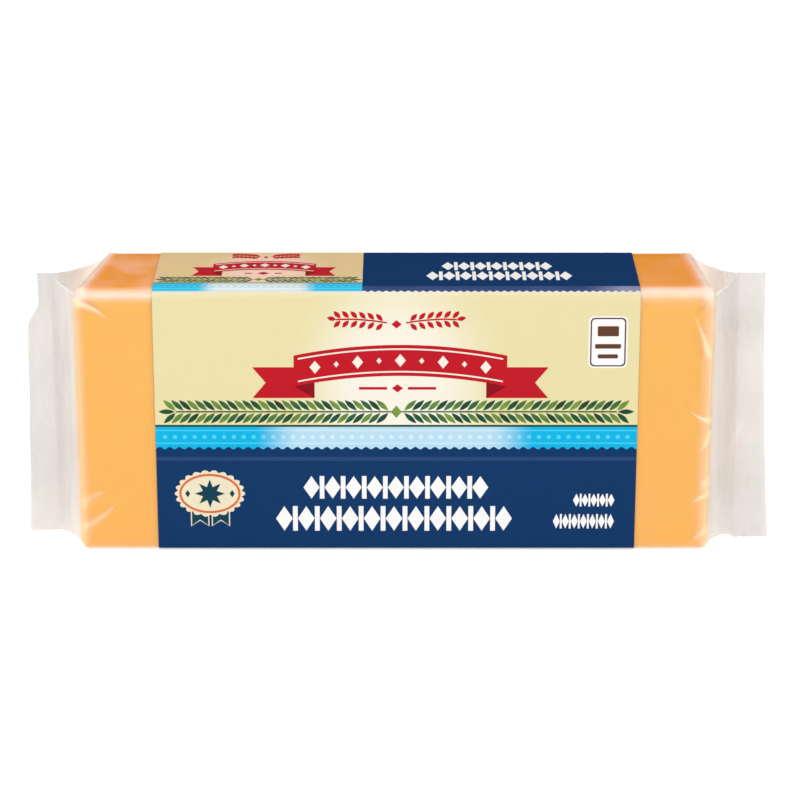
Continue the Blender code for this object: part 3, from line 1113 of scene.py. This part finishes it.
# Colours that one piece of the print alone has: the print on the top, whose glow is painted shade,
# the painted reflection line on the navy and the rosette
# The top field's glow is painted as a shaded copy of the front's
SHADED_GLOW = (0.81, 0.57, 0.46)
TOP_BLUE = (0.03, 0.44, 0.68)
TOP_SKY = (0.54, 0.66, 0.69)
TOP_FOAM = (0.72, 0.80, 0.82)
REFLECTION_NAVY = (0.0185, 0.0525, 0.148)
ROSETTE_CREAM = (0.72, 0.66, 0.48)


def scallops(base, scale=1.0):
    """The line of a scalloped edge."""
    turn = 2.0 * math.pi / (scale * SCALLOP_PITCH)
    return lambda x: base - scale * SCALLOP_HEIGHT * math.cos((x - SCALLOP_START) * turn)


def scalloped_steps(left, right, scale=1.0):
    return round((right - left) / (scale * SCALLOP_PITCH) * STEPS_A_SCALLOP)


def build_band_base(settings):
    """The navy base of the band: one strip right round the bar, whose end laps over its start."""
    end = LAP_BEGIN + S_ROUND / MM + LAP_WIDTH
    bm = bmesh.new()
    bar(bm, BAND_START, BAND_END, LAP_BEGIN, end)
    slice_along(bm, 1, [end - LAP_WIDTH * step / 5.0 for step in range(1, 8)])

    def lap_rise(s):
        down = smooth_step(s / MM, LAP_BEGIN + LAP_WIDTH, LAP_BEGIN)
        up = smooth_step(s / MM, end - 1.4 * LAP_WIDTH, end - LAP_WIDTH)
        return BAND_THICKNESS * (up - down)

    wrap(bm, BAND_SKIN, BAND_THICKNESS, lap_rise)
    piece = add_piece("band_base", bm, navy_finish(settings.navy, settings.purple))
    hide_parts("printed_band")


def build_fields(settings):
    """The cream fields on the front, on the left of the top and on the back; the top's field is
    painted in shaded colours.
    """
    glow, haze = settings.glow, settings.haze
    cream = glowing_finish("cream", settings.cream, glow, *FRONT_GLOW_AT, haze)
    # The top's cream field is painted in a shaded copy of the cream
    tan = glowing_finish("cream_top", settings.tan, SHADED_GLOW, *TOP_GLOW_AT, 0.0)
    steps = scalloped_steps(TOP_SPLIT, BAND_END, TOP_SCALE)
    left_part = (BAND_START, TOP_SPLIT, 20, CREAM_LOW, FRONT_EDGE)
    right_part = (TOP_SPLIT, BAND_END, steps, CREAM_LOW, scallops(FRONT_EDGE, TOP_SCALE))
    print_piece("cream_field_front", 1, cream, between, left_part, right_part)
    on_top = (BAND_START, TOP_SPLIT, TOP_BLUE_HIGH, BACK - 0.5)
    print_piece("cream_field_top", 1, tan, bar, on_top)
    steps = scalloped_steps(BAND_START, BAND_END)
    on_back = (BAND_START, BAND_END, steps, *map(scallops, BACK_CREAM))
    plain = ink_finish("cream_plain", settings.cream)
    print_piece("cream_field_back", 1, plain, between, on_back)


def draw_beads(bm, left, right, s, size, pitch):
    """Draws a row of beads between two thin lines."""
    count = int((right - left) / pitch)
    first = (left + right - (count - 1) * pitch) / 2.0
    for number in range(count):
        disc(bm, first + number * pitch, s, size, size, sides=16)
    for line in (s - 1.5 * size, s + 1.5 * size):
        bar(bm, left, right, line - 0.12 * size, line + 0.12 * size)


def build_strips(settings):
    """The blue strips under the cream fields, each with a row of beads between two lines, and a
    painted reflection line across the navy.
    """
    blue = strip_finish("blue", settings.blue, settings.sky, *FRONT_STRIP)
    steps = scalloped_steps(BAND_START, BAND_END)
    strip = (BAND_START, BAND_END, steps, scallops(BLUE_LOW), CREAM_LOW)
    print_piece("blue_strip_front", 1, blue, between, strip)
    blue = strip_finish("blue_top", TOP_BLUE, TOP_SKY, *TOP_STRIP)
    strip = (BAND_START, TOP_SPLIT, FRONT_EDGE, TOP_BLUE_HIGH)
    print_piece("blue_strip_top", 1, blue, bar, strip)
    pale = strip_finish("beads", settings.bead, settings.foam, *FRONT_STRIP)
    beads = (BAND_START, BAND_END, *FRONT_BEADS, SCALLOP_PITCH)
    print_piece("beads_front", 2, pale, draw_beads, beads)
    pale = strip_finish("beads_top", settings.bead, TOP_FOAM, *TOP_STRIP)
    beads = (BAND_START, TOP_SPLIT, *TOP_BEADS, TOP_SCALE * SCALLOP_PITCH)
    print_piece("beads_top", 2, pale, draw_beads, beads)
    # Painted reflection: a paler line across the navy field
    pale_navy = ink_finish("pale_navy", REFLECTION_NAVY)
    print_piece("navy_line", 1, pale_navy, bar, (BAND_START, BAND_END, *REFLECTION_LINE))


# Garlands: where each begins and ends, its foot and how tall it is
GARLANDS = (
    (BAND_START, BAND_END, CREAM_LOW, 5.5),
    (BAND_START, TOP_SPLIT, TOP_BLUE_HIGH, 4.2),
)
GARLAND_LEAN = math.radians(42.0)


def draw_garland(leaves, stems, lines, buds, left, right, foot, tall):
    """Draws a stem with paired leaves that point away from a bud at its middle, over a line.

    The leaves go into three meshes in turn.
    """
    long, wide, pitch = 0.63 * tall, 0.2 * tall, 0.3 * tall
    x, s, half = (left + right) / 2.0, foot + 0.61 * tall, (right - left) / 2.0
    pairs = int((half - 0.05 * tall - long * math.cos(GARLAND_LEAN)) / pitch)
    plate(stems, x, s, 2.0 * pairs * pitch, 0.06 * tall)
    bar(lines, left, right, foot, foot + 0.08 * tall)
    lozenge(buds, x, s, 0.42 * tall, 0.5 * tall)
    for side in (LEFT, RIGHT):
        for number in range(1, pairs + 1):
            at = x + side * number * pitch
            for upward in (-1, 1):
                lean, start = upward * GARLAND_LEAN, s + upward * 0.05 * tall
                leaf(leaves[(number + upward) % 3], side, at, start, long, wide, lean)
        leaf(leaves[0], side, x + side * (pairs + 0.1) * pitch, s, long, wide, 0.0)


def build_garlands(settings):
    """The garlands of green leaves, on the front and smaller on the top."""
    inks = {
        "leaves_deep": (2, settings.deep, settings.shade),
        "leaves_green": (2, settings.leaf, settings.deep),
        "leaves_light": (2, settings.lime, settings.leaf),
        "garland_stems": (2, settings.leaf, settings.deep),
        "dark_lines": (2, settings.shade, settings.deep),
        "garland_buds": (3, settings.lime, settings.leaf),
    }
    drawings = [bmesh.new() for _ in inks]
    for garland in GARLANDS:
        draw_garland(drawings[:3], *drawings[3:], *garland)
    for bm, (name, (layer, tint, other)) in zip(drawings, inks.items()):
        lay_print(name, layer, ink_finish(name, tint, other, 300.0, 0.2), bm)


# Red ornaments, each with the place of its middle (x and s), its width and its height
RIBBONS = ((1.2, 40.1, 61.8, 11.7), (-27.5, TOP + 15.0, 30.2, 10.6))
SPRIGS = ((0.4, 50.45, 28.4, 5.0), (-27.5, TOP + 23.2, 14.6, 4.6))
RULES = ((0.6, 36.4, 16.1, 1.8), (-27.6, TOP + 11.5, 7.8, 2.0))
SPRIG_LEAN = math.radians(48.0)
SPRIG_TIP_LEAN = math.radians(12.0)


def draw_ribbon(tails, folds, bodies, marks, x, s, width, height):
    """Draws a ribbon with swallow tails, arched at its middle, with a key line and lozenges."""
    half_body, drop, breadth = 0.36 * width, 0.22 * height, 0.58 * height
    foot = s - 0.5 * height + drop

    def line(share_of_breadth):
        lift = foot + share_of_breadth * breadth
        return lambda at: lift + 0.2 * height * (1.0 - ((at - x) / half_body) ** 2)

    between(bodies, x - half_body, x + half_body, 32, line(0.0), line(1.0))
    for low, high in ((0.11, 0.16), (0.84, 0.89)):
        key_half = 0.96 * half_body
        between(marks, x - key_half, x + key_half, 32, line(low), line(high))
    for step in range(-4, 5):
        at = x + step * 0.2 * half_body
        size = (0.2 if step % 2 else 0.42) * breadth
        lozenge(marks, at, line(0.5)(at), 0.8 * size, size)
    low, high = foot - drop, foot - drop + breadth
    for side in (LEFT, RIGHT):
        inner, turn, tip = (x + side * share_out * width for share_out in (0.29, 0.36, 0.5))
        notch = (tip - side * 0.045 * width, (low + high) / 2.0)
        outline(tails, (inner, low), (tip, low), notch, (tip, high), (inner, high))
        outline(folds, (turn, foot), (inner, line(0.0)(inner)), (inner, low))


def draw_sprig(bm, x, s, width, height):
    """Draws two leafy twigs that start from a lozenge and rise to both sides."""

    def stem(at, lift=0.0):
        rise = 0.22 * math.sin(1.4 * math.pi * abs(at - x) / width)
        return s + (rise + lift) * height

    lozenge(bm, x, s, 0.075 * width, 0.36 * height)
    for side in (LEFT, RIGHT):
        first, last = x + side * 0.07 * width, x + side * 0.44 * width
        lines = [lambda at, lift=lift: stem(at, lift) for lift in (-0.035, 0.035)]
        between(bm, *sorted((first, last)), 12, *lines)
        for step in range(6):
            at = mix(first, last, (step + 0.5) / 6.0)
            for upward in (-1, 1):
                size = (0.42 * height, 0.2 * height)
                leaf(bm, side, at, stem(at, 0.05 * upward), *size, upward * SPRIG_LEAN)
        leaf(bm, side, last, stem(last), 0.07 * width, 0.2 * height, SPRIG_TIP_LEAN)


def draw_rule(bm, x, s, width, height):
    """Draws a thin line on each side of a lozenge."""
    lozenge(bm, x, s, 1.3 * height, height)
    for side in (LEFT, RIGHT):
        ends = sorted((x + side * 1.2 * height, x + side * 0.5 * width))
        bar(bm, *ends, s - 0.16 * height, s + 0.16 * height)


def build_red_ornaments(settings):
    """The ribbons, sprigs and rules on the front and, smaller, on the top."""
    tails, folds, bodies, marks, twigs = (bmesh.new() for _ in range(5))
    for ribbon, sprig, rule in zip(RIBBONS, SPRIGS, RULES):
        draw_ribbon(tails, folds, bodies, marks, *ribbon)
        draw_sprig(twigs, *sprig)
        draw_rule(twigs, *rule)
    red = ink_finish("red", settings.red)
    lay_print("ribbon_tails", 2, red, tails)
    lay_print("ribbon_folds", 3, ink_finish("dark_red", settings.wine), folds)
    lay_print("ribbon_bodies", 4, red, bodies)
    lay_print("ribbon_marks", 5, ink_finish("key_cream", settings.glow), marks)
    lay_print("sprigs_and_rules", 2, red, twigs)


# White rows on the navy field: x of the middle, lower and upper edge, width and number of lozenges
WHITE_ROWS = (
    (0.25, 11.7, 16.8, 40.1, 9),
    (-0.15, 4.4, 10.0, 51.1, 11),
    (21.6, TOP + 13.8, TOP + 19.6, 24.2, 7),
    (21.9, TOP + 6.7, TOP + 12.8, 31.4, 9),
    (42.1, 9.9, 12.8, 9.2, 5),
    (40.0, 4.9, 8.2, 13.4, 7),
)


def draw_row(bm, x, low, high, width, count):
    """Draws a row of lozenges with an upright bar between each two."""
    pitch, s, height = width / count, (low + high) / 2.0, high - low
    for step in range(count):
        at = x - width / 2.0 + (step + 0.5) * pitch
        lozenge(bm, at, s, 0.76 * pitch, height)
        if step:
            plate(bm, at - 0.5 * pitch, s, 0.22 * pitch, height)


def build_white_rows(settings):
    """The white rows on the navy field, on the front and on the top."""
    print_piece("white_rows", 1, ink_finish("white", settings.white), draw_row, *WHITE_ROWS)


# The tag, the rosette and the back's print. A tag's plate has a width, a height and a rounding,
# and each of its bars the height of its middle over the tag's, a width and a height
TAG_AT = (44.35, 46.55)
TAG_PLATE, TAG_RIM, TAG_INSIDE = (8.1, 11.35, 1.1), (7.4, 10.65, 0.9), (6.8, 10.05, 0.75)
TAG_BARS = ((2.4, 4.4, 2.2), (-0.9, 5.4, 1.0), (-3.1, 4.2, 0.9))
TAG_BAR_ROUNDING = 0.25
ROSETTE_AT = (-39.05, 12.85)
ROSETTE_RIM, ROSETTE_RING, ROSETTE_INSIDE = (14.9, 10.6), (13.0, 8.9), (12.0, 7.9)
TAIL_IN, TAIL_OUT, TAIL_LENGTH, TAIL_NOTCH, TAIL_RIM = 0.5, 3.9, 7.2, 1.3, 0.25
ROSETTE_LOBES, LOBE_DEPTH, STEPS_A_LOBE = 22, 0.1, 8
STAR_SIZE, STAR_POINTS, STAR_DEPTH = 6.4, 8, 0.5
BESIDE_STAR, LOZENGE_SIZE = 4.7, (1.1, 1.7)

# The back's panel with its bars, and the lines beside it: where the rows begin, how far apart they
# are, and the height and length of each
PANEL_LEFT, PANEL_RIGHT, PANEL_LOW, PANEL_HIGH = -44.0, -10.0, BACK + 6.0, BACK + 50.0
PANEL_ROUNDING, PANEL_MARGIN = 1.0, 2.0
HEADING_WIDTH, HEADING_HEIGHT = 24.0, 3.0
PANEL_ROWS, PANEL_PITCH, PANEL_BAR, PANEL_RULE = PANEL_LOW + 8.0, 3.0, 0.35, 0.8
LINE_ROWS, LINE_PITCH, LINE_HEIGHT = BACK_CREAM[1] + 5.0, 2.6, 0.7
LINE_LENGTH, LAST_LENGTH = 38.0, 24.0


def build_tag(settings):
    """A white tag with a brown outline and brown bars, at the right of the cream field."""
    white, brown = ink_finish("white", settings.white), ink_finish("brown", settings.brown)
    print_piece("tag_plate", 2, white, plate, (*TAG_AT, *TAG_PLATE))
    print_piece("tag_rim", 3, brown, plate, (*TAG_AT, *TAG_RIM))
    print_piece("tag_inside", 4, white, plate, (*TAG_AT, *TAG_INSIDE))
    x, s = TAG_AT
    bars = [(x, s + up, *size, TAG_BAR_ROUNDING) for up, *size in TAG_BARS]
    print_piece("tag_bars", 5, brown, plate, *bars)


def draw_tails(bm, x, s, grow):
    """Draws the rosette's two tails, a little larger for their rim."""
    low = s - TAIL_LENGTH - grow
    for side in (LEFT, RIGHT):
        inner, outer = x + side * (TAIL_IN - grow), x + side * (TAIL_OUT + grow)
        notch = ((inner + outer) / 2.0, low + TAIL_NOTCH)
        outline(bm, (inner, s), (inner, low), notch, (outer, low), (outer, s))


def draw_star(bm, x, s):
    """Draws the rosette's star, and a lozenge on each side of it."""
    corners = new_disc(bm, 2 * STAR_POINTS)
    for corner in corners[1::2]:
        corner.co *= STAR_DEPTH
    set_down(bm, corners, x, s, STAR_SIZE, STAR_SIZE)
    for side in (LEFT, RIGHT):
        lozenge(bm, x + side * BESIDE_STAR, s, *LOZENGE_SIZE)


def build_rosette(settings):
    """A scalloped rosette with a ring, a star and two tails, at the left of the navy field."""
    cream, teal = ink_finish("pale_cream", ROSETTE_CREAM), ink_finish("teal", settings.teal)
    orange = ink_finish("orange", settings.orange)
    print_piece("rosette_tail_rims", 1, cream, draw_tails, (*ROSETTE_AT, TAIL_RIM))
    print_piece("rosette_tails", 2, teal, draw_tails, (*ROSETTE_AT, 0.0))
    lobes = (ROSETTE_LOBES, LOBE_DEPTH, ROSETTE_LOBES * STEPS_A_LOBE)
    print_piece("rosette_rim", 3, cream, disc, (*ROSETTE_AT, *ROSETTE_RIM, *lobes))
    print_piece("rosette_ring", 4, orange, disc, (*ROSETTE_AT, *ROSETTE_RING))
    print_piece("rosette_inside", 5, cream, disc, (*ROSETTE_AT, *ROSETTE_INSIDE))
    print_piece("rosette_star", 6, teal, draw_star, ROSETTE_AT)


def build_back_panel(settings):
    """The back's plain print: a white panel of dark bars, and rows of thin bars beside it."""
    white, teal = ink_finish("white", settings.white), ink_finish("teal", settings.teal)
    x, s = (PANEL_LEFT + PANEL_RIGHT) / 2.0, (PANEL_LOW + PANEL_HIGH) / 2.0
    size = (PANEL_RIGHT - PANEL_LEFT, PANEL_HIGH - PANEL_LOW)
    print_piece("back_panel", 2, white, plate, (x, s, *size, PANEL_ROUNDING))
    left, right = PANEL_LEFT + PANEL_MARGIN, PANEL_RIGHT - PANEL_MARGIN
    low = PANEL_LOW + PANEL_MARGIN
    bars = [(left, left + HEADING_WIDTH, low, low + HEADING_HEIGHT)]
    for row in range(11):
        low = PANEL_ROWS + row * PANEL_PITCH
        bars.append((left, right, low, low + (PANEL_BAR if row % 4 else PANEL_RULE)))
    print_piece("back_panel_bars", 3, teal, bar, *bars)
    lines = []
    for row, right in enumerate([LINE_LENGTH] * 5 + [LAST_LENGTH]):
        low = LINE_ROWS + row * LINE_PITCH
        lines.append((0.0, right, low, low + LINE_HEIGHT))
    print_piece("back_lines", 2, white, bar, *lines)


# The stage. A softbox has the name of its power's setting, its size, its place and its colour
WHITE_LIGHT, WARM_LIGHT = (1.0, 1.0, 1.0), (1.0, 0.9, 0.84)
SOFTBOXES = {
    "front_softbox": ("key_power", (1.4, 0.9), (-0.15, -1.3, 0.75), WHITE_LIGHT),
    "left_softbox": ("side_power", (0.6, 0.6), (-1.1, 0.1, 0.3), WHITE_LIGHT),
    "right_softbox": ("side_power", (0.6, 0.6), (1.1, 0.1, 0.3), WHITE_LIGHT),
    "top_softbox": ("top_power", (1.0, 0.6), (0.0, -0.25, 1.0), WARM_LIGHT),
}
LIT_SPOT = Vector((0.0, 0.0, 0.03))
CAMERA_AIM = Vector((1.12 * MM, 0.0, 28.95 * MM))
FLOOR_COLOUR = (0.85, 0.87, 0.88, 1.0)
PURE_WHITE = (1.0, 1.0, 1.0, 1.0)


def add_softbox(name, power, size, at, tint):
    data = bpy.data.lights.new(name, "AREA")
    data.energy, data.color, data.shape = power, tint, "RECTANGLE"
    data.size, data.size_y = size
    light = new_object(name, data)
    light.location = at
    light.rotation_euler = (Vector(at) - LIT_SPOT).to_track_quat("Z", "Y").to_euler()
    light.visible_camera = False


def add_world(sky):
    """Surroundings that are dark near the horizon and bright overhead, and white to the eye."""
    world = bpy.data.worlds.new("studio")
    bpy.context.scene.world = world
    world.use_nodes = True
    tree = world.node_tree
    background = tree.nodes["Background"].inputs
    background["Color"].default_value = PURE_WHITE
    direction = node_output(tree, "ShaderNodeTexCoord", output="Generated")
    up = node_output(tree, "ShaderNodeSeparateXYZ", {0: direction}, 2)
    seen = node_output(tree, "ShaderNodeLightPath", output="Is Camera Ray")
    up.ramp(0.2, 0.95, 0.1, sky).math("MAXIMUM", seen).into(background["Strength"])


def add_floor(glow):
    bm = bmesh.new()
    bmesh.ops.create_grid(bm, x_segments=1, y_segments=1, size=4.0)
    finish, _, shader = new_finish("pale_floor", Roughness=0.8, Specular_IOR_Level=0.0)
    shader["Base Color"].default_value = FLOOR_COLOUR
    shader["Emission Color"].default_value = PURE_WHITE
    shader["Emission Strength"].default_value = glow
    floor = mesh_object("floor", bm, finish)


def add_camera(settings):
    data = bpy.data.cameras.new("camera")
    data.lens, data.sensor_width = settings.lens, 36.0
    data.clip_start, data.clip_end = 0.01, 20.0
    flat, up = math.cos(settings.elevation), math.sin(settings.elevation)
    back = Vector((math.sin(settings.azimuth) * flat, -math.cos(settings.azimuth) * flat, up))
    camera = new_object("camera", data)
    camera.location = CAMERA_AIM + back * settings.distance
    camera.rotation_euler = back.to_track_quat("Z", "Y").to_euler()
    bpy.context.scene.camera = camera


def build_stage(settings):
    """A white floor, soft light from the front, the sides and overhead, and the camera."""
    add_world(settings.sky)
    add_floor(settings.floor_glow)
    for name, (power, *details) in SOFTBOXES.items():
        add_softbox(name, getattr(settings, power), *details)
    add_camera(settings)
    bpy.context.scene.view_settings.view_transform = "Standard"


# Operators


class CHEDDAR_OT_cheese(bpy.types.Operator):
    """Build the bar of cheese"""

    bl_idname = "cheddar.cheese"
    bl_label = "Cheese Bar"

    def execute(self, context):
        build_cheese(context.scene.cheddar_cheese)
        return {"FINISHED"}


class CHEDDAR_OT_film(bpy.types.Operator):
    """Wrap the bar in film and close it to a seal at each end"""

    bl_idname = "cheddar.film"
    bl_label = "Film Wrap"

    def execute(self, context):
        build_film(context.scene.cheddar_film)
        return {"FINISHED"}


class CHEDDAR_OT_band(bpy.types.Operator):
    """Lay the navy band round the bar, with its cream and blue fields"""

    bl_idname = "cheddar.band"
    bl_label = "Band and Fields"

    def execute(self, context):
        settings = context.scene.cheddar_print
        build_band_base(settings)
        build_fields(settings)
        build_strips(settings)
        return {"FINISHED"}


class CHEDDAR_OT_garlands(bpy.types.Operator):
    """Print the garlands of leaves"""

    bl_idname = "cheddar.garlands"
    bl_label = "Garlands"

    def execute(self, context):
        build_garlands(context.scene.cheddar_print)
        return {"FINISHED"}


class CHEDDAR_OT_ornaments(bpy.types.Operator):
    """Print the ribbons, the sprigs and the white rows"""

    bl_idname = "cheddar.ornaments"
    bl_label = "Ornaments"

    def execute(self, context):
        settings = context.scene.cheddar_print
        build_red_ornaments(settings)
        build_white_rows(settings)
        return {"FINISHED"}


class CHEDDAR_OT_badges(bpy.types.Operator):
    """Print the tag, the rosette and the back panel"""

    bl_idname = "cheddar.badges"
    bl_label = "Tag, Rosette and Back"

    def execute(self, context):
        settings = context.scene.cheddar_print
        build_tag(settings)
        build_rosette(settings)
        build_back_panel(settings)
        return {"FINISHED"}


class CHEDDAR_OT_stage(bpy.types.Operator):
    """Add the floor, the lights and the camera"""

    bl_idname = "cheddar.stage"
    bl_label = "Stage"

    def execute(self, context):
        build_stage(context.scene.cheddar_stage)
        return {"FINISHED"}


OPERATORS = (
    CHEDDAR_OT_cheese,
    CHEDDAR_OT_film,
    CHEDDAR_OT_band,
    CHEDDAR_OT_garlands,
    CHEDDAR_OT_ornaments,
    CHEDDAR_OT_badges,
    CHEDDAR_OT_stage,
)


class VIEW3D_PT_cheddar(bpy.types.Panel):
    """The steps and their settings"""

    bl_label = "Cheddar Bar"
    bl_idname = "VIEW3D_PT_cheddar"
    bl_space_type = "VIEW_3D"
    bl_region_type = "UI"
    bl_category = "Cheddar"

    def draw(self, context):
        for operator in OPERATORS:
            self.layout.operator(operator.bl_idname)
        for group in SETTINGS:
            box = self.layout.box()
            settings = getattr(context.scene, group)
            for name in settings.__annotations__:
                box.prop(settings, name)


SETTINGS = {
    "cheddar_cheese": CheeseSettings,
    "cheddar_film": FilmSettings,
    "cheddar_print": PrintSettings,
    "cheddar_stage": StageSettings,
}
CLASSES = (*SETTINGS.values(), *OPERATORS, VIEW3D_PT_cheddar)


def register():
    for each in CLASSES:
        bpy.utils.register_class(each)
    for name, group in SETTINGS.items():
        setattr(bpy.types.Scene, name, bpy.props.PointerProperty(type=group))


def unregister():
    for name in SETTINGS:
        delattr(bpy.types.Scene, name)
    for each in reversed(CLASSES):
        bpy.utils.unregister_class(each)


def main():
    register()
    bpy.ops.cheddar.cheese()
    bpy.ops.cheddar.film()
    bpy.ops.cheddar.band()
    bpy.ops.cheddar.garlands()
    bpy.ops.cheddar.ornaments()
    bpy.ops.cheddar.badges()
    bpy.ops.cheddar.stage()


if __name__ == "__main__":
    main()
